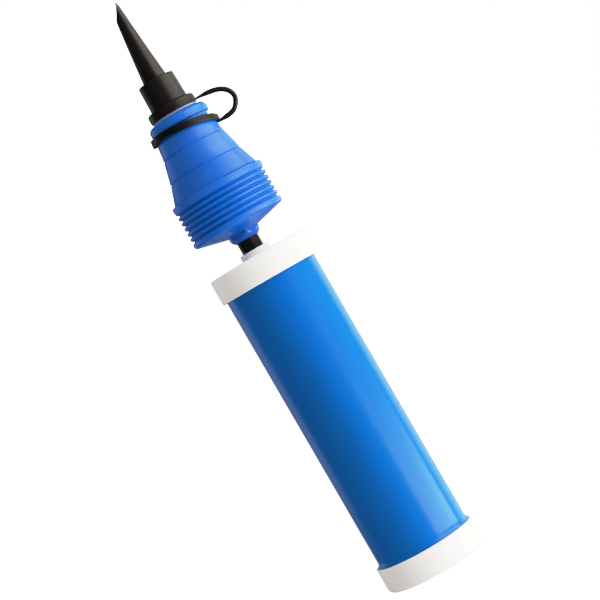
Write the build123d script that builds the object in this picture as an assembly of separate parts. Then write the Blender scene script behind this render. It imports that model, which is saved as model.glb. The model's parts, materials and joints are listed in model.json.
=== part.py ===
from build123d import *
import os
from math import cos, pi, radians, tan

# Double-action hand air pump for inflatables, with a stepped cone nozzle on the rod.
# It stands upright. The origin is the centre of the base cap's underside, and +Z runs
# along the pump towards the nozzle tip. The plunger is at the bottom of its stroke.
# Sizes are in millimetres. Levels are heights above the origin.

# Fits and repeats
TOUCH_GAP = 0.05  # between a moving piece and the seat it rests on
PORTS = 6  # holes in each ring of ports
PORT_STEP = 360 / PORTS

# Barrel
BARREL_R = 23.0
BORE_R = 21.3
FLARE_R = 23.75  # the barrel widens into the base cap
FLARE_RISE = 3.0
SEAL_THICK = 1.0  # flat gasket under each end of the barrel

# End caps
CAP_R = 25.0
CAP_WALL = 3.2  # floor of the base cap and roof of the rod-end cap
BASE_CAP_TOP = 12.8
BASE_EDGE_R = 2.5
ROD_CAP_BOTTOM = 153.1
ROD_CAP_TOP = 165.3
ROD_CAP_EDGE_R = 1.0
RIM_EDGE_R = 0.4
RECESS_R = 18.0
RECESS_DEPTH = 0.8

# Valves: thin rubber discs and rings that lift off their ports
FLAP_THICK = 1.1
FLAP_LIFT = 1.1
FLAP_SPACE = FLAP_THICK + FLAP_LIFT + 2 * TOUCH_GAP
CAGE_PLATE = 1.5
PORT_R = 1.6
WINDOW_R = 2.6
PIN_R = 2.0
PIN_GAP = 0.3

# Base inlet
BASE_PORT_PITCH_R = 9.5
BASE_DISC_R = 13.0
BASE_CAGE_IN_R = 15.0
BASE_CAGE_OUT_R = 17.0

# Rod and its guide
ROD_R = 5.45
ROD_BORE_R = 3.5
ROD_FIT = 0.06
BUSH_NOSE_R = 7.25
BUSH_TOP = 168.6
BUSH_FLANGE_R = 10.0
BUSH_FLANGE_H = 4.1
ROD_SEAL_SECTION_R = 1.1
ROD_SEAL_POCKET_R = 7.9
WASHER_THICK = 1.2
WASHER_IN_R = 5.8

# Rod-end inlet
TOP_PORT_PITCH_R = 14.6
TOP_RING_IN_R = 10.5
TOP_RING_OUT_R = 18.6
TOP_CAGE_IN_R = 19.0
TOP_CAGE_OUT_R = 21.2
TOP_CAGE_LIP_R = 6.2
TOP_CAGE_SLEEVE_R = 11.6

# Piston
PISTON_BOTTOM = 7.4
PISTON_R = 20.9
PISTON_IN_R = 16.6
PISTON_PLATE = 3.0
PISTON_WEB_BOTTOM = 21.6
PISTON_WEB_TOP = 24.6
BOSS_R = 9.2
BOSS_BOTTOM = 18.6
BOSS_TOP = 30.6
GROOVE_R = 18.5
GROOVE_H = 2.8
PISTON_SEAL_Z = 14.9
PISTON_SEAL_SECTION_R = 1.3
LOWER_PORT_PITCH_R = 6.0
LOWER_DISC_R = 9.5
UPPER_PORT_PITCH_R = 12.8
UPPER_RING_IN_R = 9.6
UPPER_RING_OUT_R = 16.0
PEG_R = 1.1
CAGE_WINDOW_PITCH_R = 12.8

# Head: hexagonal hub, shallow cone underneath, ribbed grip and stepped cone
HUB_BOTTOM = 174.3
HUB_CORNER_R = 8.45
HUB_TURN = 8.5  # degrees that one corner is turned past -Y
HUB_NOSE_R = 5.9
HUB_NOSE_TOP = 175.9
HUB_CHAMFER_TOP = 177.9
UNDER_IN_R = 7.5
UNDER_BOTTOM = 178.05
UNDER_SLOPE = 14.0  # degrees
SOCKET_R = 8.0
SOCKET_TOP = 192.0
ROD_TOP = 190.0
PLUG_R = 21.2
PLUG_WALL = 1.8
PLUG_TOP = 187.0
HEAD_WALL = 1.8
GRIP_BOTTOM = 181.85
GRIP_R = 23.1
BOTTOM_RIB_R = 23.2
BOTTOM_RIB_TOP = 184.6
TOP_RIB_R = 23.4
TOP_RIB_BOTTOM = 200.1
TOP_RIB_TOP = 203.1
TOP_RIB_UPPER_EDGE_R = 0.9
TOP_RIB_LOWER_EDGE_R = 0.25
GRIP_GROOVES = 6
GRIP_GROOVE_FIRST = 185.2
GRIP_GROOVE_LAST = 198.8
GRIP_GROOVE_SECTION_R = 0.75
GRIP_GROOVE_DEPTH = 0.95
# Radius and level where the cone's tapered steps meet, from the grip up to the neck
STEPS = [(21.4, 203.1), (18.2, 213.2), (15.55, 224.0), (14.6, 231.4)]
LINE_SECTION_R = 0.35  # thin groove where two steps meet
NECK_R = 13.3
FLANGE_BOTTOM = 235.0
FLANGE_TOP = 239.9
FLANGE_R = 14.7
FLANGE_LOW_EDGE_R = 1.3
FLANGE_TOP_EDGE_R = 2.6
SPIGOT_BORE_R = 8.0
SPIGOT_BOTTOM = 232.6

# Outlet spigot and its soft tip
SHOULDER_R = 11.2
SHOULDER_H = 1.15
NOSE_R = 6.3
NOSE_TOP = 254.0
AIRWAY_R = 4.2
TIP_FIT = 0.05
TIP_FLANGE_R = 11.85
TIP_FLANGE_TOP = 245.6
TIP_FLANGE_EDGE_R = 0.8
COLLAR_R = (9.25, 8.9)
COLLAR_TOP = 258.8
COLLAR_EDGE_R = 0.5
TAPER_R = (5.9, 1.8)  # at the collar's top and at the point
TIP_TOP = 299.8
CUT_BOTTOM = 290.5  # the slanting cut starts here on the -X side and ends at the point
CUT_HOLLOW_R = 32.0  # the cut is slightly hollow
OUTLET_R = 0.95

# Tether: a ring round the neck and a strap to the tip
RING_IN_R = 15.1
RING_OUT_R = 16.6
RING_H = 3.1
RING_EDGE_R = 0.5
RING_TILT = 6.8  # degrees, low on the +X side
RING_CENTRE = (0.3, 0, 231.65)
KNOB_BOX = ((-16.5, -1.8, 231.2), (-14.85, 1.8, 235.3))
BLOCK_BOX = ((15.35, -1.6, 227.0), (17.0, 1.6, 231.1))
STRAP_D = 2.4
STRAP_ROUTE = [
    (11.93, 0, 242.2),
    (19.1, 0, 242.1),
    (25.5, 0, 239.9),
    (28.4, 0, 235.6),
    (27.2, 0, 231.3),
    (23.3, 0, 227.9),
    (16.6, 0, 228.0),
]
BEND_SHARE = 0.45  # of the shorter run beside a corner, taken up by its arc


def turned(*outline):
    """A solid of revolution about Z from a closed outline of (radius, level) points."""
    return revolve(make_face(Plane.XZ * Polyline(*outline, close=True)), Axis.Z)


def tube(outer_r, inner_r, bottom, top):
    """A plain ring or tube standing on Z."""
    return turned((inner_r, bottom), (outer_r, bottom), (outer_r, top), (inner_r, top))


def rod(radius, bottom, top, x=0.0, y=0.0):
    """A plain round bar standing parallel to Z."""
    centre = Pos(x, y, (bottom + top) / 2)
    return centre * Cylinder(radius, top - bottom)


def ring_of(radius, pitch_r, bottom, top, turn=0.0):
    """Round bars in a ring: ports to cut, or pegs to add."""
    bars = [Rot(0, 0, turn + i * PORT_STEP) * rod(radius, bottom, top, x=pitch_r) for i in range(PORTS)]
    return sum(bars[1:], bars[0])


def circles(solid, level, radius):
    """The circular edges of a solid at one level and radius."""
    near = 0.01
    return [
        edge
        for edge in solid.edges().filter_by(GeomType.CIRCLE)
        if abs(edge.radius - radius) < near and abs(edge.arc_center.Z - level) < near
    ]


def barrel_tube():
    bottom = CAP_WALL + SEAL_THICK
    top = ROD_CAP_TOP - CAP_WALL - SEAL_THICK
    return turned(
        (BORE_R, bottom),
        (FLARE_R, bottom),
        (FLARE_R, BASE_CAP_TOP),
        (BARREL_R, BASE_CAP_TOP + FLARE_RISE),
        (BARREL_R, top),
        (BORE_R, top),
    )


def base_cap():
    cup = turned(
        (0, RECESS_DEPTH),
        (RECESS_R, RECESS_DEPTH),
        (RECESS_R, 0),
        (CAP_R, 0),
        (CAP_R, BASE_CAP_TOP),
        (FLARE_R, BASE_CAP_TOP),
        (FLARE_R, CAP_WALL),
        (0, CAP_WALL),
    )
    cup = fillet(circles(cup, 0, CAP_R), BASE_EDGE_R)
    cup = fillet(circles(cup, BASE_CAP_TOP, CAP_R), RIM_EDGE_R)
    cup -= ring_of(PORT_R, BASE_PORT_PITCH_R, 0, CAP_WALL)
    return cup + rod(PIN_R, CAP_WALL, CAP_WALL + FLAP_SPACE + CAGE_PLATE)


def base_cap_seal():
    return tube(FLARE_R, BORE_R, CAP_WALL, CAP_WALL + SEAL_THICK)


def base_inlet_disc():
    seat = CAP_WALL + TOUCH_GAP
    return tube(BASE_DISC_R, PIN_R + PIN_GAP, seat, seat + FLAP_THICK)


def base_valve_cage():
    plate_bottom = CAP_WALL + FLAP_SPACE
    top = plate_bottom + CAGE_PLATE
    cage = tube(BASE_CAGE_OUT_R, BASE_CAGE_IN_R, CAP_WALL, top)
    cage += tube(BASE_CAGE_IN_R, PIN_R, plate_bottom, top)
    return cage - ring_of(WINDOW_R, BASE_PORT_PITCH_R, plate_bottom, top)


def rod_end_cap():
    roof = ROD_CAP_TOP - CAP_WALL
    cup = turned(
        (BARREL_R, ROD_CAP_BOTTOM),
        (CAP_R, ROD_CAP_BOTTOM),
        (CAP_R, ROD_CAP_TOP),
        (BUSH_NOSE_R, ROD_CAP_TOP),
        (BUSH_NOSE_R, roof),
        (BARREL_R, roof),
    )
    cup = fillet(circles(cup, ROD_CAP_TOP, CAP_R), ROD_CAP_EDGE_R)
    cup = fillet(circles(cup, ROD_CAP_BOTTOM, CAP_R), RIM_EDGE_R)
    return cup - ring_of(PORT_R, TOP_PORT_PITCH_R, roof, ROD_CAP_TOP)


def rod_end_cap_seal():
    roof = ROD_CAP_TOP - CAP_WALL
    return tube(BARREL_R, BORE_R, roof - SEAL_THICK, roof)


def guide_bush():
    roof = ROD_CAP_TOP - CAP_WALL
    bottom = roof - BUSH_FLANGE_H
    bush = tube(BUSH_NOSE_R, ROD_R + ROD_FIT, bottom, BUSH_TOP)
    bush += tube(BUSH_FLANGE_R, ROD_R + ROD_FIT, bottom, roof)
    bush = fillet(circles(bush, BUSH_TOP, BUSH_NOSE_R), RIM_EDGE_R)
    pocket_top = bottom + 2 * (ROD_SEAL_SECTION_R + TOUCH_GAP)
    return bush - rod(ROD_SEAL_POCKET_R, bottom, pocket_top)


def rod_seal():
    bottom = ROD_CAP_TOP - CAP_WALL - BUSH_FLANGE_H
    centre_r = ROD_R + ROD_FIT + ROD_SEAL_SECTION_R
    return Pos(0, 0, bottom + TOUCH_GAP + ROD_SEAL_SECTION_R) * Torus(centre_r, ROD_SEAL_SECTION_R)


def rod_seal_washer():
    top = ROD_CAP_TOP - CAP_WALL - BUSH_FLANGE_H
    return tube(BUSH_FLANGE_R, WASHER_IN_R, top - WASHER_THICK, top)


def top_inlet_ring():
    seat = ROD_CAP_TOP - CAP_WALL - TOUCH_GAP
    return tube(TOP_RING_OUT_R, TOP_RING_IN_R, seat - FLAP_THICK, seat)


def top_valve_cage():
    roof = ROD_CAP_TOP - CAP_WALL
    plate_top = roof - FLAP_SPACE
    plate_bottom = plate_top - CAGE_PLATE
    washer_bottom = roof - BUSH_FLANGE_H - WASHER_THICK
    bottom = washer_bottom - CAGE_PLATE
    cage = tube(TOP_CAGE_OUT_R, TOP_CAGE_IN_R, plate_bottom, roof)
    cage += tube(TOP_CAGE_IN_R, BUSH_FLANGE_R, plate_bottom, plate_top)
    cage -= ring_of(WINDOW_R, TOP_PORT_PITCH_R, plate_bottom, plate_top)
    cage += tube(TOP_CAGE_SLEEVE_R, BUSH_FLANGE_R, bottom, plate_top)
    return cage + tube(BUSH_FLANGE_R, TOP_CAGE_LIP_R, bottom, washer_bottom)


def pump_rod():
    return tube(ROD_R, ROD_BORE_R, BOSS_BOTTOM, ROD_TOP)


def piston_body():
    body = turned(
        (PISTON_IN_R, PISTON_BOTTOM),
        (PISTON_R, PISTON_BOTTOM),
        (PISTON_R, PISTON_WEB_TOP),
        (BOSS_R, PISTON_WEB_TOP),
        (BOSS_R, BOSS_TOP),
        (ROD_R, BOSS_TOP),
        (ROD_R, BOSS_BOTTOM),
        (BOSS_R, BOSS_BOTTOM),
        (BOSS_R, PISTON_WEB_BOTTOM),
        (PISTON_IN_R, PISTON_WEB_BOTTOM),
    )
    body -= tube(PISTON_R + 1, GROOVE_R, PISTON_SEAL_Z - GROOVE_H / 2, PISTON_SEAL_Z + GROOVE_H / 2)
    return body - ring_of(PORT_R, UPPER_PORT_PITCH_R, PISTON_WEB_BOTTOM, PISTON_WEB_TOP)


def piston_seal():
    centre_r = BORE_R - TOUCH_GAP - PISTON_SEAL_SECTION_R
    return Pos(0, 0, PISTON_SEAL_Z) * Torus(centre_r, PISTON_SEAL_SECTION_R)


def piston_base():
    top = PISTON_BOTTOM + PISTON_PLATE
    plate = rod(PISTON_IN_R, PISTON_BOTTOM, top)
    plate -= ring_of(PORT_R, LOWER_PORT_PITCH_R, PISTON_BOTTOM, top)
    return plate + rod(PIN_R, top, top + FLAP_SPACE + CAGE_PLATE)


def lower_outlet_disc():
    seat = PISTON_BOTTOM + PISTON_PLATE + TOUCH_GAP
    return tube(LOWER_DISC_R, PIN_R + PIN_GAP, seat, seat + FLAP_THICK)


def outlet_valve_cage():
    plate_bottom = PISTON_BOTTOM + PISTON_PLATE + FLAP_SPACE
    plate_top = plate_bottom + CAGE_PLATE
    peg_top = PISTON_WEB_BOTTOM - FLAP_SPACE
    cage = tube(PISTON_IN_R, PIN_R, plate_bottom, plate_top)
    cage -= ring_of(WINDOW_R, CAGE_WINDOW_PITCH_R, plate_bottom, plate_top)
    return cage + ring_of(PEG_R, CAGE_WINDOW_PITCH_R, plate_bottom, peg_top, turn=PORT_STEP / 2)


def upper_outlet_ring():
    seat = PISTON_WEB_BOTTOM - TOUCH_GAP
    return tube(UPPER_RING_OUT_R, UPPER_RING_IN_R, seat - FLAP_THICK, seat)


def hub():
    """The hexagonal boss under the head, with its corners cut back to a short round nose."""
    height = UNDER_BOTTOM + 1 - HUB_BOTTOM
    corners = RegularPolygon(HUB_CORNER_R, 6)
    prism = Pos(0, 0, HUB_BOTTOM) * Rot(0, 0, HUB_TURN - 90) * extrude(corners, height)
    flat_r = HUB_CORNER_R * cos(radians(30))
    cutter = turned(
        (0, HUB_BOTTOM),
        (HUB_NOSE_R, HUB_BOTTOM),
        (flat_r, HUB_NOSE_TOP),
        (HUB_CORNER_R, HUB_CHAMFER_TOP),
        (HUB_CORNER_R, HUB_BOTTOM + height),
        (0, HUB_BOTTOM + height),
    )
    return prism & cutter


def cone_base():
    """The hub, the shallow cone under the grip, and the sockets for the rod and the cone."""
    rise = (PLUG_R - UNDER_IN_R) * tan(radians(UNDER_SLOPE))
    plug_bottom = UNDER_BOTTOM + rise
    inner_r = PLUG_R - PLUG_WALL
    plate = HEAD_WALL + 0.3
    base = turned(
        (ROD_BORE_R, UNDER_BOTTOM),
        (UNDER_IN_R, UNDER_BOTTOM),
        (PLUG_R, plug_bottom),
        (PLUG_R, PLUG_TOP),
        (inner_r, PLUG_TOP),
        (inner_r, plug_bottom + plate),
        (SOCKET_R, UNDER_BOTTOM + plate + 0.3),
        (SOCKET_R, SOCKET_TOP),
        (ROD_BORE_R, SOCKET_TOP),
    )
    base += hub()
    base -= rod(ROD_BORE_R, HUB_BOTTOM, SOCKET_TOP)
    return base - rod(ROD_R, HUB_BOTTOM, ROD_TOP)


def nozzle_cone():
    """The ribbed grip and the stepped cone, hollow, with a bored flange at its top."""
    seam = UNDER_BOTTOM + (PLUG_R - UNDER_IN_R) * tan(radians(UNDER_SLOPE))
    outline = [
        (PLUG_R, seam),
        (BOTTOM_RIB_R - 1.1, GRIP_BOTTOM),
        (BOTTOM_RIB_R - 0.3, GRIP_BOTTOM + 0.4),
        (BOTTOM_RIB_R, GRIP_BOTTOM + 1.3),
        (BOTTOM_RIB_R, BOTTOM_RIB_TOP),
        (GRIP_R, BOTTOM_RIB_TOP),
        (GRIP_R, TOP_RIB_BOTTOM),
        (TOP_RIB_R, TOP_RIB_BOTTOM),
        (TOP_RIB_R, TOP_RIB_TOP),
    ]
    outline += STEPS
    outline += [
        (NECK_R, STEPS[-1][1]),
        (NECK_R, FLANGE_BOTTOM),
        (FLANGE_R, FLANGE_BOTTOM),
        (FLANGE_R, FLANGE_TOP),
        (SPIGOT_BORE_R, FLANGE_TOP),
        (SPIGOT_BORE_R, SPIGOT_BOTTOM),
    ]
    hollow = [*reversed(STEPS), (PLUG_R + HEAD_WALL, TOP_RIB_BOTTOM - HEAD_WALL)]
    outline += [(r - HEAD_WALL, level - HEAD_WALL / 2) for r, level in hollow]
    outline += [(PLUG_R, PLUG_TOP)]
    cone = turned(*outline)
    cone = fillet(circles(cone, FLANGE_BOTTOM, FLANGE_R), FLANGE_LOW_EDGE_R)
    cone = fillet(circles(cone, FLANGE_TOP, FLANGE_R), FLANGE_TOP_EDGE_R)
    cone = fillet(circles(cone, TOP_RIB_TOP, TOP_RIB_R), TOP_RIB_UPPER_EDGE_R)
    cone = fillet(circles(cone, TOP_RIB_BOTTOM, TOP_RIB_R), TOP_RIB_LOWER_EDGE_R)
    pitch = (GRIP_GROOVE_LAST - GRIP_GROOVE_FIRST) / (GRIP_GROOVES - 1)
    groove_r = GRIP_R - GRIP_GROOVE_DEPTH + GRIP_GROOVE_SECTION_R
    for i in range(GRIP_GROOVES):
        cone -= Pos(0, 0, GRIP_GROOVE_FIRST + i * pitch) * Torus(groove_r, GRIP_GROOVE_SECTION_R)
    for radius, level in STEPS[1:-1]:
        cone -= Pos(0, 0, level) * Torus(radius, LINE_SECTION_R)
    return cone


def outlet_spigot():
    top = FLANGE_TOP + SHOULDER_H
    spigot = tube(SPIGOT_BORE_R, AIRWAY_R, SPIGOT_BOTTOM, FLANGE_TOP)
    spigot += tube(SHOULDER_R, AIRWAY_R, FLANGE_TOP, top)
    spigot += tube(NOSE_R, AIRWAY_R, top, NOSE_TOP)
    return chamfer(circles(spigot, NOSE_TOP, NOSE_R), 0.8)


def nozzle_tip():
    """Soft tip: a flange and collar that push onto the spigot, and a long taper cut on a slant."""
    bottom = FLANGE_TOP + SHOULDER_H + TIP_FIT
    socket_top = NOSE_TOP + TIP_FIT
    tip = turned(
        (NOSE_R + TIP_FIT, bottom),
        (TIP_FLANGE_R, bottom),
        (TIP_FLANGE_R, TIP_FLANGE_TOP),
        (COLLAR_R[0], TIP_FLANGE_TOP),
        (COLLAR_R[1], COLLAR_TOP),
        (TAPER_R[0], COLLAR_TOP),
        (TAPER_R[1], TIP_TOP),
        (OUTLET_R, TIP_TOP),
        (AIRWAY_R, socket_top),
        (NOSE_R + TIP_FIT, socket_top),
    )
    tip = fillet(circles(tip, bottom, TIP_FLANGE_R), TIP_FLANGE_EDGE_R)
    tip = fillet(circles(tip, TIP_FLANGE_TOP, TIP_FLANGE_R), TIP_FLANGE_EDGE_R)
    tip = fillet(circles(tip, COLLAR_TOP, COLLAR_R[1]), COLLAR_EDGE_R)
    return tip - slant_cutter()


def slant_cutter():
    """A wide round bar across the taper, whose side makes the slightly hollow slanting cut."""
    slope = (TAPER_R[0] - TAPER_R[1]) / (TIP_TOP - COLLAR_TOP)
    low = Vector(-TAPER_R[1] - slope * (TIP_TOP - CUT_BOTTOM), 0, CUT_BOTTOM)
    high = Vector(TAPER_R[1], 0, TIP_TOP)
    along = high - low
    half = along.length / 2
    away = Vector(-along.Z, 0, along.X).normalized() * (CUT_HOLLOW_R**2 - half**2) ** 0.5
    centre = (low + high) / 2 + away
    return Pos(centre.X, 0, centre.Z) * Rot(90, 0, 0) * Cylinder(CUT_HOLLOW_R, 20)


def boxed(corners, edge_r):
    """A block between two opposite corners, with its edges rounded."""
    low, high = Vector(*corners[0]), Vector(*corners[1])
    size = high - low
    block = Pos(*((low + high) / 2)) * Box(size.X, size.Y, size.Z)
    return fillet(block.edges(), edge_r)


def tether_ring():
    """The flat ring round the neck, with its closing knob and the block that holds the strap."""
    ring = tube(RING_OUT_R, RING_IN_R, -RING_H / 2, RING_H / 2)
    ring = fillet(ring.edges().filter_by(GeomType.CIRCLE), RING_EDGE_R)
    ring = Pos(*RING_CENTRE) * Rot(0, RING_TILT, 0) * ring
    return ring + boxed(KNOB_BOX, RING_EDGE_R) + boxed(BLOCK_BOX, RING_EDGE_R)


def strap_radii(route):
    """The bend radius at each inner point of the route."""
    points = [Vector(*p) for p in route]
    radii = []
    for before, corner, after in zip(points, points[1:], points[2:]):
        turn = (corner - before).get_angle(after - corner)
        shorter = min((corner - before).length, (after - corner).length)
        radii.append(BEND_SHARE * shorter / tan(radians(turn / 2)))
    return radii


def tether_strap():
    radii = strap_radii(STRAP_ROUTE)
    path = FilletPolyline(*STRAP_ROUTE, radius=radii)
    start = Plane(origin=path @ 0, z_dir=path % 0)
    strap = sweep(start * Circle(STRAP_D / 2), path=path)
    section = pi * STRAP_D**2 / 4
    print("strap bend radii", [round(r, 2) for r in radii])
    print("strap length", round(path.length, 2), "volume", round(strap.volume, 2))
    print("strap section times length", round(section * path.length, 2))
    return strap


PARTS = [
    barrel_tube,
    base_cap,
    base_cap_seal,
    base_inlet_disc,
    base_valve_cage,
    rod_end_cap,
    rod_end_cap_seal,
    guide_bush,
    rod_seal,
    rod_seal_washer,
    top_inlet_ring,
    top_valve_cage,
    pump_rod,
    piston_body,
    piston_seal,
    piston_base,
    lower_outlet_disc,
    outlet_valve_cage,
    upper_outlet_ring,
    cone_base,
    nozzle_cone,
    outlet_spigot,
    nozzle_tip,
    tether_ring,
    tether_strap,
]

os.makedirs("parts", exist_ok=True)
for make in PARTS:
    export_step(make(), f"parts/{make.__name__}.step")
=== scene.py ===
"""Looks of a double-action hand air pump with a stepped cone nozzle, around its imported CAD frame.

Outlines and levels are in millimetres, radius first, in the frame's own axes. Meshes, lights,
the camera and the lengths in materials are in metres.
"""

import json
import math

import bmesh
import bpy
from mathutils import Matrix, Vector


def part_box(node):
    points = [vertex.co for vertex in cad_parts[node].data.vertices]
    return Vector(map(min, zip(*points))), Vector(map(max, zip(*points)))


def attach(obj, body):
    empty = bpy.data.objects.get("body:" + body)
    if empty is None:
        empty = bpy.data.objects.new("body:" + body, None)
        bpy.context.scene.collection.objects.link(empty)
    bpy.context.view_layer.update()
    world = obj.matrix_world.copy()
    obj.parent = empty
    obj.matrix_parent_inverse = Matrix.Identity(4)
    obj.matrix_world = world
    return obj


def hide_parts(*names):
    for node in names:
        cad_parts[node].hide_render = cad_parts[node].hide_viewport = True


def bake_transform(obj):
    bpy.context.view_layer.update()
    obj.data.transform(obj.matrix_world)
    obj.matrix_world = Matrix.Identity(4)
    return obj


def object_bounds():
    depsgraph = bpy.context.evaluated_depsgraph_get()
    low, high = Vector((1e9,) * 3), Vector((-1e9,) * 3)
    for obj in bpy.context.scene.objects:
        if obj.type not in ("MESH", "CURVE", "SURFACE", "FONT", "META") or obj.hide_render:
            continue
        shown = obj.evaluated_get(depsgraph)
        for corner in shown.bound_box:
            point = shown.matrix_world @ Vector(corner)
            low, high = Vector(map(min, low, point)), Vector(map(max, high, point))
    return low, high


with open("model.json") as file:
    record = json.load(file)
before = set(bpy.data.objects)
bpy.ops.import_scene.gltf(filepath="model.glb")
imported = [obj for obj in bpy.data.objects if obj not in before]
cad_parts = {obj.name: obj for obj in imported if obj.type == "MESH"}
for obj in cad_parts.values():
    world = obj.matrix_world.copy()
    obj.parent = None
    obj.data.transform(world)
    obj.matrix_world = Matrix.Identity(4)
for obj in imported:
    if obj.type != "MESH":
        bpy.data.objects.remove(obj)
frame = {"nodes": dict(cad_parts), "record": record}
CAD_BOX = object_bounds()
RECORD = frame["record"]
BODY_OF = {node: body for body, nodes in RECORD["behaviour"]["bodies"].items() for node in nodes}
SLOT_OF = {part["node"]: part["material_slot"] for part in RECORD["subparts"]}
BOX_OF = {node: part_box(node) for node in frame["nodes"]}

MM = 0.001
SEGMENTS = 192
ARC_STEP = math.radians(12)
SHARP_ANGLE = math.radians(32)
PORTS = 6
GAP = 0.04  # a look stays this far inside a neighbour that it would touch


# ---------------------------------------------------------------- sizes, in millimetres and degrees

BARREL_R = 23.0
BORE_R = 21.3
FLARE_RISE = 1.9
FOOT_EDGE_R = 2.6
ROOF_EDGE_R = 1.1
RECESS_R = 18.0
RECESS_DEPTH = 0.8
GATE_RING_R = 1.9
GATE_RING_HALF = 0.3
GATE_RING_DEPTH = 0.25
PIN_R = 2.0
PORT_R = 1.6
PORT_FLARE = 0.3
BASE_PORT_PITCH_R = 9.5
TOP_PORT_PITCH_R = 14.6
BUSH_NOSE_R = 7.25
BUSH_FLANGE_R = 10.0
POCKET_R = 7.9
ROD_BORE_R = 3.5

HUB_CORNER_R = 8.45
HUB_CORNER_SOFT = 0.2
HUB_TURN = 8.5
HUB_NOSE_R = 5.9
HUB_NOSE_LEVEL = 175.9
HUB_CHAMFER_LEVEL = 177.0
UNDER_LEVEL = 178.05
HUB_ROOT_LEVEL = UNDER_LEVEL + 0.2
SOCKET_R = 8.0
PLUG_R = 21.2
PLUG_TOP = 187.0
HEAD_WALL = 1.8
BOTTOM_RIB_R = 23.2
BOTTOM_RIB_HIGH = 183.4
GRIP_R = 23.1
GRIP_GROOVES = 6
GROOVE_FIRST = 185.2
GROOVE_LAST = 198.8
GROOVE_DEPTH = 1.4
WAVE_POINTS = 24
VALLEY_NARROWING = 1.7
TOP_RIB_LOW = 200.1
TOP_RIB_HIGH = 203.1
STEPS = [(21.4, 203.1), (18.2, 213.2), (15.55, 224.0), (14.6, 231.4)]
LINE_DEPTH = 0.3
LINE_LIP = 0.14
NECK_R = 13.3
FLANGE_LOW = 235.0
FLANGE_R = 14.7
SPIGOT_BORE_R = 8.0
SHOULDER_R = 11.2
SHOULDER_H = 1.15
SPIGOT_NOSE_R = 6.3
AIRWAY_R = 4.2

TIP_FLANGE_HIGH = 245.6
COLLAR_R = (9.25, 8.9)
COLLAR_HIGH = 258.8
TAPER_R = 5.9
POINT_R = 1.8
OUTLET_R = 0.95
TAPER_SLOPE = 0.1
BORE_SLOPE = 0.071
BORE_SHARE = 0.75
CUT_START = 286.0
CUT_LOW = 290.5
CUT_LOW_R = 2.75
CUT_HOLLOW = 0.06

LEAN = 0.7
LIP_LEVEL = 297.2
LIP_CURL = 0.75

RING_WALL = 1.5
RING_H = 3.1
RING_TILT = 6.8
RING_CENTRE = (0.3, 0, 231.65)
RING_OUT_EXTRA = 0.25
RING_FRONT_RISE = 1.1
KNOB_SPREAD = math.radians(9)
KNOB_EXTRA = 0.5
KNOB_DROP = 0.1
BLOCK_SPREAD = math.radians(9)
BLOCK_EXTRA = 0.55
BLOCK_DROP = 0.45
STRAP_R = 1.2
STRAP_ROOT = (0.42, 0.62)
STRAP_THIN_SHARE = (0.22, 0.12)
STRAP_ROUTE = [
    (11.6, 0, 242.2),
    (19.1, 0, 242.1),
    (25.5, 0, 239.9),
    (28.4, 0, 235.6),
    (27.2, 0, 231.3),
    (23.3, 0, 227.9),
    (16.6, 0, 228.0),
]


# ---------------------------------------------------------------- reading the frame


def low(node):
    """The lowest level of a CAD node, in millimetres."""
    return BOX_OF[node][0].z / MM


def high(node):
    """The highest level of a CAD node, in millimetres."""
    return BOX_OF[node][1].z / MM


def radius(node):
    """The largest radius of a round CAD node, in millimetres."""
    return BOX_OF[node][1].y / MM


# ---------------------------------------------------------------- mesh helpers


def corner_arc(before, corner, after, size):
    """The points of an arc that rounds one corner of an outline, as large as its sides allow."""
    p, a, b = Vector(corner), Vector(before), Vector(after)
    to_a, to_b = a - p, b - p
    opening = to_a.angle(to_b)
    reach = min(size / math.tan(opening / 2), 0.48 * to_a.length, 0.48 * to_b.length)
    size = reach * math.tan(opening / 2)
    start, end = p + to_a.normalized() * reach, p + to_b.normalized() * reach
    centre = p + (to_a.normalized() + to_b.normalized()).normalized() * size / math.sin(opening / 2)
    turn = math.pi - opening
    steps = max(2, math.ceil(turn / ARC_STEP))
    from_start, from_end = start - centre, end - centre
    points = []
    for i in range(steps + 1):
        share = i / steps
        weights = math.sin((1 - share) * turn), math.sin(share * turn)
        arm = (from_start * weights[0] + from_end * weights[1]) / math.sin(turn)
        points.append(centre + arm)
    return [tuple(point) for point in points]


def rounded(outline):
    """A closed outline of (radius, level) points. A third value rounds its corner by that radius."""
    points = []
    for i, point in enumerate(outline):
        before, after = outline[i - 1][:2], outline[(i + 1) % len(outline)][:2]
        if len(point) == 3:
            points += corner_arc(before, point[:2], after, point[2])
        else:
            points.append(tuple(point))
    return points


def mesh_object(name, vertices, faces):
    """A smooth-shaded object from millimetre points, with its faces turned outwards."""
    mesh = bpy.data.meshes.new(name)
    mesh.from_pydata([Vector(v) * MM for v in vertices], [], faces)
    shell = bmesh.new()
    shell.from_mesh(mesh)
    bmesh.ops.remove_doubles(shell, verts=shell.verts, dist=1e-7)
    bmesh.ops.recalc_face_normals(shell, faces=shell.faces)
    shell.to_mesh(mesh)
    shell.free()
    piece = bpy.data.objects.new(name, mesh)
    bpy.context.scene.collection.objects.link(piece)
    smooth(piece)
    return piece


def smooth(piece):
    """Smooth shading that keeps true edges sharp."""
    piece.data.shade_smooth()
    piece.data.set_sharp_from_angle(angle=SHARP_ANGLE)


def closed_grid(rows, columns):
    """The faces between rows of points, where each row is a closed loop and the last meets the first."""
    faces = []
    for i in range(rows):
        here, there = i * columns, (i + 1) % rows * columns
        for k in range(columns):
            following = (k + 1) % columns
            faces.append((here + k, here + following, there + following, there + k))
    return faces


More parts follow.
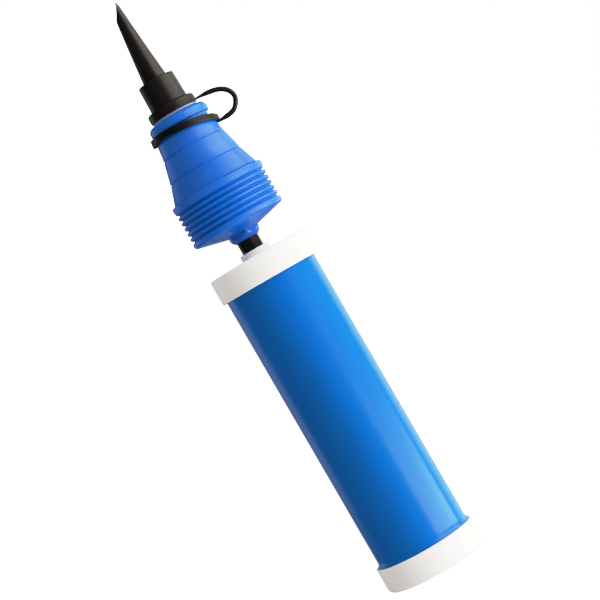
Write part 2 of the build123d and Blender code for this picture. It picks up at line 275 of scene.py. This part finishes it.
def lathe(name, outline, warp=None, segments=SEGMENTS):
    """A closed outline turned about Z. warp(radius, level, angle) may move a point in its plane."""
    rings = rounded(outline)
    vertices = []
    for i in range(segments):
        angle = 2 * math.pi * i / segments
        for r, z in rings:
            if warp:
                r, z = warp(r, z, angle)
            vertices.append((r * math.cos(angle), r * math.sin(angle), z))
    return mesh_object(name, vertices, closed_grid(segments, len(rings)))


def drill(piece, pitch_r, bottom, top, mouth):
    """Cuts a ring of round ports. Each widens into a chamfer at the level of its mouth."""
    far = top if mouth > (bottom + top) / 2 else bottom
    near = bottom if far == top else top
    depth = math.copysign(PORT_FLARE, near - mouth)
    outline = [
        (0, near),
        (PORT_R, near),
        (PORT_R, mouth + depth),
        (PORT_R + PORT_FLARE, mouth),
        (PORT_R + PORT_FLARE, far),
        (0, far),
    ]
    cutters = []
    for i in range(PORTS):
        cutter = lathe("cutter", outline, segments=40)
        turn = Matrix.Rotation(2 * math.pi * i / PORTS, 4, "Z")
        cutter.matrix_world = turn @ Matrix.Translation((pitch_r * MM, 0, 0))
        cutters.append(cutter)
        cut = piece.modifiers.new("port", "BOOLEAN")
        cut.operation = "DIFFERENCE"
        cut.solver = "EXACT"
        cut.object = cutter
    apply_modifiers(piece)
    for cutter in cutters:
        bpy.data.objects.remove(cutter)


def apply_modifiers(piece):
    """Makes the modified mesh the piece's own."""
    bpy.context.view_layer.update()
    evaluated = piece.evaluated_get(bpy.context.evaluated_depsgraph_get())
    piece.data = bpy.data.meshes.new_from_object(evaluated)
    piece.modifiers.clear()
    smooth(piece)


def stand_for(piece, node, material):
    """The piece takes the place of a CAD node: its body, and a material."""
    piece.data.materials.clear()
    piece.data.materials.append(material)
    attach(piece, BODY_OF[node])
    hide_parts(node)
    return piece


# ---------------------------------------------------------------- material helpers


class Shader:
    """A Principled material that is built up node by node."""

    def __init__(self, name, **sockets):
        self.material = bpy.data.materials.new(name)
        self.material.use_nodes = True
        self.tree = self.material.node_tree
        self.bsdf = self.tree.nodes["Principled BSDF"]
        for socket, value in sockets.items():
            self.bsdf.inputs[socket.replace("_", " ")].default_value = value
        self.bump_below = None

    def node(self, kind, **settings):
        made = self.tree.nodes.new(kind)
        for key, value in settings.items():
            setattr(made, key, value)
        return made

    def link(self, source, target):
        self.tree.links.new(source, target)

    def place(self, stretch=(1, 1, 1)):
        """Object coordinates, stretched along each axis."""
        where = self.node("ShaderNodeTexCoord")
        mapping = self.node("ShaderNodeMapping")
        mapping.inputs["Scale"].default_value = stretch
        self.link(where.outputs["Object"], mapping.inputs["Vector"])
        return mapping.outputs["Vector"]

    def noise(self, scale, stretch=(1, 1, 1), detail=4.0, roughness=0.55):
        """Noise of that many cells a metre."""
        noise = self.node("ShaderNodeTexNoise")
        noise.inputs["Scale"].default_value = scale
        noise.inputs["Detail"].default_value = detail
        noise.inputs["Roughness"].default_value = roughness
        self.link(self.place(stretch), noise.inputs["Vector"])
        return noise.outputs["Fac"]

    def spread(self, value, start, end, low_value=0.0, high_value=1.0):
        """The value from start to end, spread from low_value to high_value."""
        mapped = self.node("ShaderNodeMapRange")
        mapped.inputs["From Min"].default_value = start
        mapped.inputs["From Max"].default_value = end
        mapped.inputs["To Min"].default_value = low_value
        mapped.inputs["To Max"].default_value = high_value
        self.link(value, mapped.inputs["Value"])
        return mapped.outputs["Result"]

    def blend(self, share, first, second):
        """Between two colours, or a colour and a socket, by a share."""
        mix = self.node("ShaderNodeMix", data_type="RGBA")
        self.link(share, mix.inputs["Factor"])
        for socket, value in ((mix.inputs["A"], first), (mix.inputs["B"], second)):
            if isinstance(value, bpy.types.NodeSocket):
                self.link(value, socket)
            else:
                socket.default_value = (*value, 1)
        return mix.outputs["Result"]

    def colour(self, source):
        self.link(source, self.bsdf.inputs["Base Color"])

    def roughness(self, source):
        self.link(source, self.bsdf.inputs["Roughness"])

    def bump(self, height, distance, strength=1.0):
        """Adds a layer of relief, of that height in metres, over the layers before it."""
        bump = self.node("ShaderNodeBump")
        bump.inputs["Strength"].default_value = strength
        bump.inputs["Distance"].default_value = distance
        self.link(height, bump.inputs["Height"])
        if self.bump_below:
            self.link(self.bump_below, bump.inputs["Normal"])
        self.bump_below = bump.outputs["Normal"]
        self.link(self.bump_below, self.bsdf.inputs["Normal"])


def linear(red, green, blue):
    """A display colour of 0 to 255 as linear light."""
    channels = [c / 255 for c in (red, green, blue)]
    return tuple(c / 12.92 if c <= 0.04045 else ((c + 0.055) / 1.055) ** 2.4 for c in channels)


def moulded(name, colour, shade, rough, grain, relief=0.00001, **sockets):
    """Moulded plastic or rubber: a drift between two colours, a fine grain, an uneven gloss."""
    look = Shader(name, **sockets)
    drift = look.spread(look.noise(35, detail=3), 0.35, 0.65)
    look.colour(look.blend(drift, linear(*shade), linear(*colour)))
    look.roughness(look.spread(look.noise(160, detail=6), 0.3, 0.7, rough - 0.05, rough + 0.06))
    look.bump(look.noise(grain, detail=3), relief)
    return look


def barrel_blue():
    """Extruded tube: faint draw lines along it, a soft gloss and a few hair scratches."""
    look = Shader("barrel_blue", IOR=1.49, Specular_IOR_Level=0.28)
    drift = look.spread(look.noise(30, stretch=(1, 1, 0.25), detail=3), 0.35, 0.65)
    look.colour(look.blend(drift, linear(0, 97, 173), linear(0, 103, 181)))
    draw_lines = look.noise(900, stretch=(1, 1, 0.006), detail=3)
    look.roughness(look.spread(draw_lines, 0.3, 0.7, 0.2, 0.25))
    look.bump(draw_lines, 0.0000015)
    look.bump(look.noise(420, detail=2), 0.00001)
    scratch = look.spread(look.noise(700, stretch=(1, 0.35, 0.04), detail=1), 0.70, 0.76)
    look.bump(scratch, 0.000004, strength=0.3)
    return look.material


def head_blue(name, colour, shade, rough, gloss):
    """Moulded polyethylene of the head: satin and slightly waxy."""
    look = moulded(
        name,
        colour,
        shade,
        rough=rough,
        grain=900,
        Specular_IOR_Level=gloss,
        Subsurface_Weight=0.12,
        Subsurface_Scale=0.001,
    )
    look.bsdf.inputs["Subsurface Radius"].default_value = (0.2, 0.5, 1.0)
    return look.material


def cap_white():
    """Moulded caps: warm white, with the faintest dust and scuffs."""
    look = Shader("cap_white", Specular_IOR_Level=0.35)
    dust = look.spread(look.noise(220, detail=8, roughness=0.7), 0.55, 0.8)
    look.colour(look.blend(dust, linear(236, 231, 226), linear(229, 223, 216)))
    look.roughness(look.spread(look.noise(300, detail=5), 0.3, 0.7, 0.38, 0.5))
    look.bump(look.noise(1100, detail=3), 0.000012)
    return look.material


def guide_white():
    """The guide bush: a white without the warmth of the caps."""
    return moulded("guide_white", (237, 231, 231), (231, 225, 226), rough=0.5, grain=1200).material


def spigot_white():
    """The spigot: milky plastic with a blue cast."""
    return moulded("spigot_white", (156, 163, 196), (146, 154, 188), rough=0.42, grain=1200).material


def rod_black():
    """Extruded tube with a film of grease."""
    look = Shader("rod_black", Specular_IOR_Level=0.3)
    drift = look.spread(look.noise(120, detail=4), 0.3, 0.7)
    look.colour(look.blend(drift, linear(12, 13, 12), linear(20, 21, 20)))
    draw_lines = look.noise(1500, stretch=(1, 1, 0.008), detail=3)
    look.roughness(look.spread(draw_lines, 0.3, 0.7, 0.22, 0.36))
    look.bump(draw_lines, 0.00001)
    return look.material


def soft_black(name, colour, shade, rough, gloss, tint):
    """Soft moulded vinyl: dark, satin, with a fine matt grain and slight handling marks."""
    look = Shader(name, Specular_IOR_Level=gloss, Specular_Tint=(*tint, 1))
    drift = look.spread(look.noise(90, stretch=(1, 1, 0.4), detail=5), 0.35, 0.65)
    look.colour(look.blend(drift, linear(*shade), linear(*colour)))
    look.roughness(look.spread(look.noise(260, detail=6), 0.3, 0.7, rough - 0.06, rough + 0.08))
    look.bump(look.noise(650, detail=2), 0.000015)
    look.bump(look.noise(2600, detail=2), 0.000008)
    return look.material


def seal_rubber():
    """The gaskets and the seals."""
    return moulded("seal_rubber", (34, 34, 35), (26, 26, 27), rough=0.4, grain=1500).material


def flap_rubber():
    """The valve flaps: matt natural rubber."""
    look = moulded("flap_rubber", (186, 178, 164), (172, 163, 149), rough=0.7, grain=1800, relief=0.00002)
    return look.material


def inner_plastic():
    """The piston and the valve cages: plain off-white plastic."""
    return moulded("inner_plastic", (226, 226, 222), (214, 214, 208), rough=0.45, grain=1200).material


# ---------------------------------------------------------------- barrel and caps


def make_barrel(material):
    """The tube, which flares out where it enters the base cap."""
    node = "barrel_tube"
    bottom, top = low(node), high(node)
    rim = high("base_cap")
    outer, bore, flare = BARREL_R, BORE_R, radius(node)
    outline = [
        (bore, bottom),
        (flare - GAP, bottom),
        (flare - GAP, rim - 0.4),
        (flare - 0.02, rim + 0.3, 0.25),
        (outer, rim + FLARE_RISE, 2.2),
        (outer, rim + 2 * FLARE_RISE),
        (outer, top),
        (bore, top),
    ]
    return stand_for(lathe("barrel_form", outline), node, material)


def make_base_cap(material):
    """A moulded cup with a rounded foot, a shallow recess, and six ports in its floor."""
    node = "base_cap"
    top, outer = high(node), radius(node)
    inner = radius("barrel_tube")
    cup_floor = low("base_cap_seal")
    pin_top = high("base_valve_cage")
    outline = [
        (0, RECESS_DEPTH),
        (GATE_RING_R - GATE_RING_HALF, RECESS_DEPTH),
        (GATE_RING_R, RECESS_DEPTH + GATE_RING_DEPTH, 0.2),
        (GATE_RING_R + GATE_RING_HALF, RECESS_DEPTH),
        (RECESS_R, RECESS_DEPTH, 0.5),
        (RECESS_R, 0, 0.3),
        (outer, 0, FOOT_EDGE_R),
        (outer, top, 0.45),
        (inner, top, 0.25),
        (inner, cup_floor),
        (PIN_R, cup_floor),
        (PIN_R, pin_top, 0.3),
        (0, pin_top),
    ]
    cap = lathe("base_cap_form", outline)
    drill(cap, BASE_PORT_PITCH_R, -1.0, cup_floor + 1.0, mouth=RECESS_DEPTH)
    return stand_for(cap, node, material)


def make_rod_end_cap(material):
    """The same cup turned over, with a hole for the guide and six ports in its roof."""
    node = "rod_end_cap"
    bottom, top, outer = low(node), high(node), radius(node)
    roof = high("rod_end_cap_seal")
    outline = [
        (BARREL_R + GAP, bottom, 0.25),
        (outer, bottom, 0.45),
        (outer, top, ROOF_EDGE_R),
        (BUSH_NOSE_R + GAP, top, 0.25),
        (BUSH_NOSE_R + GAP, roof),
        (BARREL_R + GAP, roof),
    ]
    cap = lathe("rod_end_cap_form", outline)
    drill(cap, TOP_PORT_PITCH_R, roof - 1.0, top + 1.0, mouth=top)
    return stand_for(cap, node, material)


def make_guide_bush(material):
    """The guide's flange inside the cap, its nose above the roof, and the pocket for the rod seal."""
    node = "guide_bush"
    bottom, top = low(node), high(node)
    roof = high("rod_end_cap_seal")
    pocket_top = high("rod_seal") + 0.05
    inner = radius("pump_rod") + GAP
    outline = [
        (POCKET_R, bottom),
        (BUSH_FLANGE_R, bottom),
        (BUSH_FLANGE_R, roof),
        (BUSH_NOSE_R, roof),
        (BUSH_NOSE_R, top, 0.5),
        (inner, top, 0.35),
        (inner, pocket_top),
        (POCKET_R, pocket_top),
    ]
    return stand_for(lathe("guide_bush_form", outline), node, material)


def make_rod(material):
    """The hollow rod."""
    node = "pump_rod"
    outline = [
        (ROD_BORE_R, low(node)),
        (radius(node), low(node)),
        (radius(node), high(node)),
        (ROD_BORE_R, high(node)),
    ]
    return stand_for(lathe("pump_rod_form", outline, segments=128), node, material)


# ---------------------------------------------------------------- head


def hexagon_radius(angle):
    """The radius of the hub's hexagon at an angle, with its corners slightly rounded."""
    flat = HUB_CORNER_R * math.cos(math.radians(30))
    sector = math.radians(60)
    past = (angle - math.radians(HUB_TURN - 90)) % sector - sector / 2
    straight = flat / math.cos(past)
    return straight - HUB_CORNER_SOFT * max(0.0, (straight - flat) / (HUB_CORNER_R - flat)) ** 6


def hub_warp(r, z, angle):
    """Presses the hub's round outline into its hexagon, and leaves the rest alone."""
    if HUB_NOSE_LEVEL <= z <= HUB_ROOT_LEVEL and r > radius("pump_rod") + 0.2:
        return min(r, hexagon_radius(angle)), z
    return r, z


def make_cone_base(material):
    """The hexagonal hub, and the shallow cone that closes the head from below."""
    node = "cone_base"
    bottom, top = low(node), high(node)
    rod_r = radius("pump_rod")
    seam = low("nozzle_cone")
    outline = [
        (rod_r, bottom + 0.2, 0.15),
        (HUB_NOSE_R, bottom, 0.25),
        (HUB_CORNER_R * math.cos(math.radians(30)), HUB_NOSE_LEVEL, 0.2),
        (HUB_CORNER_R, HUB_CHAMFER_LEVEL),
        (HUB_CORNER_R, UNDER_LEVEL + 0.16),
        (HUB_CORNER_R + 0.35, UNDER_LEVEL + 0.33),
        (HUB_CORNER_R + 1.2, UNDER_LEVEL + 0.55),
        (PLUG_R - GAP, seam - 0.02, 0.1),
        (PLUG_R - GAP, PLUG_TOP),
        (PLUG_R - HEAD_WALL, PLUG_TOP),
        (PLUG_R - HEAD_WALL, seam + 2.1),
        (SOCKET_R, UNDER_LEVEL + 2.4),
        (SOCKET_R, top),
        (ROD_BORE_R, top),
        (ROD_BORE_R, high("pump_rod")),
        (rod_r, high("pump_rod")),
    ]
    return stand_for(lathe("cone_base_form", outline, warp=hub_warp, segments=360), node, material)


def grip_outline():
    """The ridged stretch of the grip: a smooth wave, with its ridges wider than its valleys."""
    pitch = (GROOVE_LAST - GROOVE_FIRST) / (GRIP_GROOVES - 1)
    count = GRIP_GROOVES * WAVE_POINTS
    points = []
    for i in range(count + 1):
        turns = i / WAVE_POINTS
        valley = 0.5 - 0.5 * math.cos(2 * math.pi * turns)
        r = GRIP_R - GROOVE_DEPTH * valley**VALLEY_NARROWING
        points.append((r, GROOVE_FIRST + (turns - 0.5) * pitch))
    return points


def make_nozzle_cone(material):
    """The ribbed grip and the stepped cone, with a rounded flange at its top."""
    node = "nozzle_cone"
    bottom, top = low(node), high(node)
    widest = radius(node)
    outline = [
        (PLUG_R, bottom, 0.1),
        (BOTTOM_RIB_R - 0.7, bottom + 0.33, 0.4),
        (BOTTOM_RIB_R, bottom + 1.3, 1.2),
        (BOTTOM_RIB_R, BOTTOM_RIB_HIGH, 0.5),
        *grip_outline(),
        (widest, TOP_RIB_LOW + 1.3, 0.4),
        (widest, TOP_RIB_HIGH, 0.9),
        (STEPS[0][0] + 0.25, TOP_RIB_HIGH + 0.08, 0.5),
    ]
    for r, level in STEPS[1:-1]:
        outline += [
            (r + 0.25, level - 0.75, 0.6),
            (r - LINE_DEPTH, level - 0.1, 0.2),
            (r + LINE_LIP, level + 0.45, 0.3),
            (r - 0.2, level + 1.4, 0.8),
        ]
    outline += [
        (STEPS[-1][0], STEPS[-1][1], 0.5),
        (NECK_R, STEPS[-1][1] + 0.15, 0.5),
        (NECK_R, FLANGE_LOW, 0.4),
        (FLANGE_R, FLANGE_LOW, 1.5),
        (FLANGE_R, top, 2.75),
        (SPIGOT_BORE_R, top),
        (SPIGOT_BORE_R, low("outlet_spigot")),
    ]
    hollow = [*reversed(STEPS), (PLUG_R + HEAD_WALL, TOP_RIB_LOW - HEAD_WALL)]
    outline += [(r - HEAD_WALL, level - HEAD_WALL / 2) for r, level in hollow]
    outline += [(PLUG_R, PLUG_TOP)]
    return stand_for(lathe("nozzle_cone_form", outline, segments=256), node, material)


def make_spigot(material):
    """The end of the airway: a shoulder on top of the cone, and a nose that holds the tip."""
    node = "outlet_spigot"
    bottom, top = low(node), high(node)
    ledge = high("nozzle_cone")
    shoulder_top = ledge + SHOULDER_H
    outline = [
        (AIRWAY_R, bottom),
        (SPIGOT_BORE_R, bottom),
        (SPIGOT_BORE_R, ledge + 0.01),
        (SHOULDER_R, ledge + 0.01, 0.15),
        (SHOULDER_R, shoulder_top, 0.25),
        (SPIGOT_NOSE_R, shoulder_top, 0.2),
        (SPIGOT_NOSE_R, top - 0.9, 0.5),
        (SPIGOT_NOSE_R - 0.8, top, 0.3),
        (AIRWAY_R, top, 0.3),
    ]
    return stand_for(lathe("outlet_spigot_form", outline), node, material)


# ---------------------------------------------------------------- soft tip and tether


def cut_level(x):
    """The level of the tip's slanting, slightly hollow cut at a distance along X."""
    top = high("nozzle_tip")
    share = (x + CUT_LOW_R) / (CUT_LOW_R + POINT_R)
    share = min(max(share, 0.0), 1.0)
    return CUT_LOW + (top - CUT_LOW) * (share - CUT_HOLLOW * math.sin(math.pi * share))


def taper_warp(r, z, angle):
    """Shortens the taper's upper end, wall by wall, down to the slanting cut."""
    if z <= CUT_START:
        return r, z
    top = high("nozzle_tip")
    share = (z - CUT_START) / (top - CUT_START)
    slope = TAPER_SLOPE if r > BORE_SHARE * (POINT_R + (top - z) * TAPER_SLOPE) else BORE_SLOPE
    level = z
    for _ in range(12):
        reach = (r + (z - level) * slope) * math.cos(angle)
        level = CUT_START + share * (cut_level(reach) - CUT_START)
    return r + (z - level) * slope, level


def make_tip(material):
    """The flange and collar that push onto the spigot, and the long taper."""
    node = "nozzle_tip"
    bottom, top = low(node), high(node)
    socket_r, socket_top = SPIGOT_NOSE_R + 0.05, high("outlet_spigot") + 0.05
    outline = [
        (socket_r, bottom, 0.2),
        (radius(node), bottom, 0.7),
        (radius(node), TIP_FLANGE_HIGH, 1.1),
        (COLLAR_R[0], TIP_FLANGE_HIGH, 0.5),
        (COLLAR_R[1], COLLAR_HIGH, 0.6),
        (TAPER_R, COLLAR_HIGH, 0.6),
        *taper_side(TAPER_R, COLLAR_HIGH, POINT_R, top, 14),
        *taper_side(OUTLET_R, top, AIRWAY_R, socket_top, 14),
        (socket_r, socket_top),
    ]
    tip = lathe("nozzle_tip_form", outline, warp=taper_warp, segments=160)
    for vertex in tip.data.vertices:
        vertex.co.x += lean(vertex.co.z / MM) * MM
    return stand_for(tip, node, material)


def lean(level):
    """How far the soft taper leans towards +X at a level. Its thin lip curls back a little."""
    share = min(max((level - COLLAR_HIGH) / (LIP_LEVEL - COLLAR_HIGH), 0.0), 1.0)
    curl = max(level - LIP_LEVEL, 0.0) / (high("nozzle_tip") - LIP_LEVEL)
    return LEAN * share**1.5 - LIP_CURL * curl


def taper_side(start_r, start, end_r, end, count):
    """Evenly spaced points along a straight taper. Going up, they leave out its start."""
    shares = [i / count for i in range(1, count + 1)]
    if start > end:
        shares = [0, *shares[:-1], 1]
    return [(start_r + (end_r - start_r) * share, start + (end - start) * share) for share in shares]


def swell(angle, centre, half_width):
    """1 at one angle of the ring, falling smoothly to 0 at half_width from it."""
    away = abs((angle - centre + math.pi) % (2 * math.pi) - math.pi) / half_width
    return 0.0 if away >= 1 else 1 - smoothstep(away)


def smoothstep(share):
    """From 0 to 1 with a smooth start and a smooth end."""
    share = min(max(share, 0.0), 1.0)
    return share * share * (3 - 2 * share)


def make_tether_ring(material):
    """The ring round the neck: a rounded band that bows up at the front, with a knob and a block."""
    node = "tether_ring"
    outer = radius(node)
    inner = outer - RING_WALL
    tilt = Matrix.Rotation(math.radians(RING_TILT), 4, "Y")
    place = Matrix.Translation(Vector(RING_CENTRE)) @ tilt
    around, section = 288, 28
    vertices = []
    for i in range(around):
        angle = 2 * math.pi * i / around
        knob = swell(angle, math.pi, KNOB_SPREAD) ** 0.6
        block = swell(angle, 0.0, BLOCK_SPREAD) ** 0.6
        outside = outer + RING_OUT_EXTRA * (knob + block)
        half_height = RING_H / 2 + KNOB_EXTRA * knob + BLOCK_EXTRA * block
        shift = -KNOB_DROP * knob - BLOCK_DROP * block
        bow = RING_FRONT_RISE * smoothstep(-math.sin(angle))
        middle, half_wall = (outside + inner) / 2, (outside - inner) / 2
        for k in range(section):
            turn = 2 * math.pi * k / section
            r = middle + half_wall * squared(math.cos(turn))
            z = shift + bow + half_height * squared(math.sin(turn))
            vertices.append(place @ Vector((r * math.cos(angle), r * math.sin(angle), z)))
    ring = mesh_object("tether_ring_form", vertices, closed_grid(around, section))
    return stand_for(ring, node, material)


def squared(value):
    """Pushes a sine or cosine outwards, so that a circle becomes a rounded square."""
    return math.copysign(abs(value) ** 0.45, value)


def smooth_route(points):
    """The points of the smooth line that a NURBS spline draws along its control points."""
    curve = bpy.data.curves.new("route", "CURVE")
    curve.dimensions = "3D"
    spline = curve.splines.new("NURBS")
    spline.points.add(len(points) - 1)
    for control, point in zip(spline.points, points):
        control.co = (*(Vector(point) * MM), 1)
    spline.order_u = 3
    spline.use_endpoint_u = True
    spline.resolution_u = 24
    carrier = bpy.data.objects.new("route", curve)
    mesh = bpy.data.meshes.new_from_object(carrier)
    line = [v.co.copy() for v in mesh.vertices]
    bpy.data.objects.remove(carrier)
    return line


def make_strap(material):
    """The moulded strap: round, and flatter where it meets the tip and the ring."""
    line = smooth_route(STRAP_ROUTE)
    reach = [0.0]
    for a, b in zip(line, line[1:]):
        reach.append(reach[-1] + (b - a).length)
    around = 24
    vertices, faces = [], []
    side = Vector((0, 1, 0))
    for i, point in enumerate(line):
        ahead = line[min(i + 1, len(line) - 1)] - line[max(i - 1, 0)]
        out = ahead.cross(side).normalized()
        share = reach[i] / reach[-1]
        size = STRAP_R
        for root, thin_share, away in zip(STRAP_ROOT, STRAP_THIN_SHARE, (share, 1 - share)):
            size *= root + (1 - root) * smoothstep(away / thin_share)
        for k in range(around):
            turn = 2 * math.pi * k / around
            across = out * (size * math.cos(turn)) + side * (STRAP_R * math.sin(turn))
            vertices.append(point / MM + across)
    for i in range(len(line) - 1):
        for k in range(around):
            here, following = i * around + k, i * around + (k + 1) % around
            faces.append((here, following, following + around, here + around))
    faces.append(tuple(range(around)))
    faces.append(tuple(range((len(line) - 1) * around, len(line) * around)))
    strap = mesh_object("tether_strap_form", vertices, faces)
    strap.data.materials.append(material)
    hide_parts("tether_strap")
    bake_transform(strap)
    return strap


# ---------------------------------------------------------------- stage, in metres and degrees

CAMERA_LENS = 117.3
CAMERA_ROLL = 30.1
CAMERA_DISTANCE = 0.9
CAMERA_SIDE = 0.0069
CAMERA_HEIGHT_SHARE = 0.46
AMBIENT = 0.6
AMBIENT_COLOUR = (0.97, 0.985, 1)
AMBIENT_GLOSS = 0.04
PAPER_WHITE = 1.8
LIGHT_LEVEL = 0.14
KEY_AZIMUTH = 73
KEY_DISTANCE = 1.0
KEY_WIDTH = 1.5
KEY_HEIGHT = 0.65
KEY_COLOUR = (1.0, 1.0, 0.9)
# name, height above the pump's middle, glow
KEY_LIGHTS = [("key_high", 0.5, 3.9), ("key_low", -0.5, 6.4)]
# name, place, width, height, glow
FILL_LIGHTS = [
    ("top", (0.1, -0.3, 1.3), 0.8, 0.8, 0.4),
    ("back", (-0.9, 0.7, 0.3), 0.6, 0.8, 0.6),
    ("rim", (0.7, 0.75, LIGHT_LEVEL), 0.6, 1.2, 1.3),
    ("behind", (0, 1.2, 0.05), 1.4, 0.5, 0.5),
]
FLOOR_REACH = 8.0
FLOOR_GLOW = 1.5
TONE_WHITE = 1.8
# scene light, and how bright it is shown
TONE_POINTS = [
    (0.2, 0.2),
    (0.35, 0.37),
    (0.5, 0.59),
    (0.6, 0.69),
    (0.75, 0.785),
    (0.9, 0.845),
    (1.05, 0.885),
    (1.25, 0.92),
    (1.5, 0.945),
    (1.7, 0.965),
]


def camera():
    """Level with the pump's middle and square to it, rolled so that the pump leans to the left."""
    middle = CAD_BOX[1].z * CAMERA_HEIGHT_SHARE
    data = bpy.data.cameras.new("camera")
    data.lens = CAMERA_LENS
    data.sensor_width = 36
    data.clip_start = 0.05
    eye = bpy.data.objects.new("camera", data)
    bpy.context.scene.collection.objects.link(eye)
    roll = math.radians(CAMERA_ROLL)
    right = Vector((math.cos(roll), 0, -math.sin(roll)))
    up = Vector((math.sin(roll), 0, math.cos(roll)))
    back = Vector((0, -1, 0))
    turn = Matrix((right, up, back)).transposed().to_4x4()
    eye.matrix_world = Matrix.Translation((CAMERA_SIDE, -CAMERA_DISTANCE, middle)) @ turn
    bpy.context.scene.camera = eye


def softbox(name, place, width, height, glow, colour=(1, 1, 1)):
    """A large, evenly bright light at a place, turned towards the pump's middle."""
    data = bpy.data.lights.new(name, "AREA")
    data.shape = "RECTANGLE"
    data.size, data.size_y = width, height
    data.energy = glow * math.pi * width * height
    data.color = colour
    lamp = bpy.data.objects.new(name, data)
    lamp.location = place
    towards = Vector((0, 0, LIGHT_LEVEL)) - Vector(place)
    lamp.rotation_euler = towards.to_track_quat("-Z", "Y").to_euler()
    lamp.visible_camera = False
    bpy.context.scene.collection.objects.link(lamp)


def studio():
    """White surroundings, soft in the light they give and dim in reflections, and the softboxes."""
    world = bpy.data.worlds.new("studio")
    bpy.context.scene.world = world
    world.use_nodes = True
    tree = world.node_tree
    path = tree.nodes.new("ShaderNodeLightPath")
    below = tree.nodes["Background"]
    below.inputs["Color"].default_value = (*AMBIENT_COLOUR, 1)
    below.inputs["Strength"].default_value = AMBIENT
    for ray, strength in (("Is Glossy Ray", AMBIENT_GLOSS), ("Is Camera Ray", PAPER_WHITE)):
        above, pick = tree.nodes.new("ShaderNodeBackground"), tree.nodes.new("ShaderNodeMixShader")
        above.inputs["Color"].default_value = (1, 1, 1, 1)
        above.inputs["Strength"].default_value = strength
        tree.links.new(path.outputs[ray], pick.inputs["Fac"])
        tree.links.new(below.outputs[0], pick.inputs[1])
        tree.links.new(above.outputs[0], pick.inputs[2])
        below = pick
    tree.links.new(below.outputs[0], tree.nodes["World Output"].inputs["Surface"])
    turn = math.radians(KEY_AZIMUTH)
    for name, rise, glow in KEY_LIGHTS:
        place = (KEY_DISTANCE * math.sin(turn), -KEY_DISTANCE * math.cos(turn), LIGHT_LEVEL + rise)
        softbox(name, place, KEY_WIDTH, KEY_HEIGHT, glow, KEY_COLOUR)
    for name, place, width, height, glow in FILL_LIGHTS:
        softbox(name, place, width, height, glow)


def tone():
    """Dark tones as they are, middle tones lifted, and a soft shoulder that keeps shape in white."""
    view = bpy.context.scene.view_settings
    view.view_transform = "Standard"
    view.use_curve_mapping = True
    view.curve_mapping.white_level = (TONE_WHITE, TONE_WHITE, TONE_WHITE)
    points = view.curve_mapping.curves[3].points
    for light, shown in TONE_POINTS:
        points.new(light / TONE_WHITE, shown)
    view.curve_mapping.update()


def floor():
    """A plain white table. It glows like the paper behind, and neither lights nor shades the pump."""
    mesh = bpy.data.meshes.new("floor")
    signs = [(-1, -1), (1, -1), (1, 1), (-1, 1)]
    mesh.from_pydata([(FLOOR_REACH * x, FLOOR_REACH * y, 0) for x, y in signs], [], [(0, 1, 2, 3)])
    table = bpy.data.objects.new("floor", mesh)
    table.location.z = -0.0002
    for ray in ("diffuse", "glossy", "shadow"):
        setattr(table, f"visible_{ray}", False)
    bpy.context.scene.collection.objects.link(table)
    look = Shader("floor", Roughness=0.9, Emission_Color=(1, 1, 1, 1), Emission_Strength=FLOOR_GLOW)
    drift = look.spread(look.noise(6), 0.3, 0.7)
    look.colour(look.blend(drift, (0.86, 0.86, 0.86), (0.88, 0.88, 0.88)))
    table.data.materials.append(look.material)


# ---------------------------------------------------------------- the scene


camera()

tether = soft_black("tether_black", (14, 14, 15), (9, 9, 10), rough=0.45, gloss=0.35, tint=(1, 1, 1))
make_strap(tether)
make_tether_ring(tether)
tip = soft_black("tip_black", (24, 21, 20), (18, 16, 15), rough=0.37, gloss=0.4, tint=(1, 0.88, 0.84))
make_tip(tip)
make_barrel(barrel_blue())
white = cap_white()
make_base_cap(white)
make_rod_end_cap(white)
make_guide_bush(guide_white())
make_rod(rod_black())
# The hub and under-cone use the head's own blue, painted about a fifth darker as shade from the cone
# above.
make_cone_base(head_blue("base_blue_painted_shade", (0, 92, 182), (0, 85, 174), rough=0.28, gloss=0.5))
make_nozzle_cone(head_blue("head_blue", (4, 103, 195), (0, 95, 187), rough=0.37, gloss=0.5))
make_spigot(spigot_white())

INNER_LOOKS = {
    "seal_rubber": seal_rubber(),
    "flap_rubber": flap_rubber(),
    "inner_plastic": inner_plastic(),
}
for node, obj in frame["nodes"].items():
    if SLOT_OF[node] in INNER_LOOKS:
        obj.data.materials.clear()
        obj.data.materials.append(INNER_LOOKS[SLOT_OF[node]])

studio()
tone()
floor()
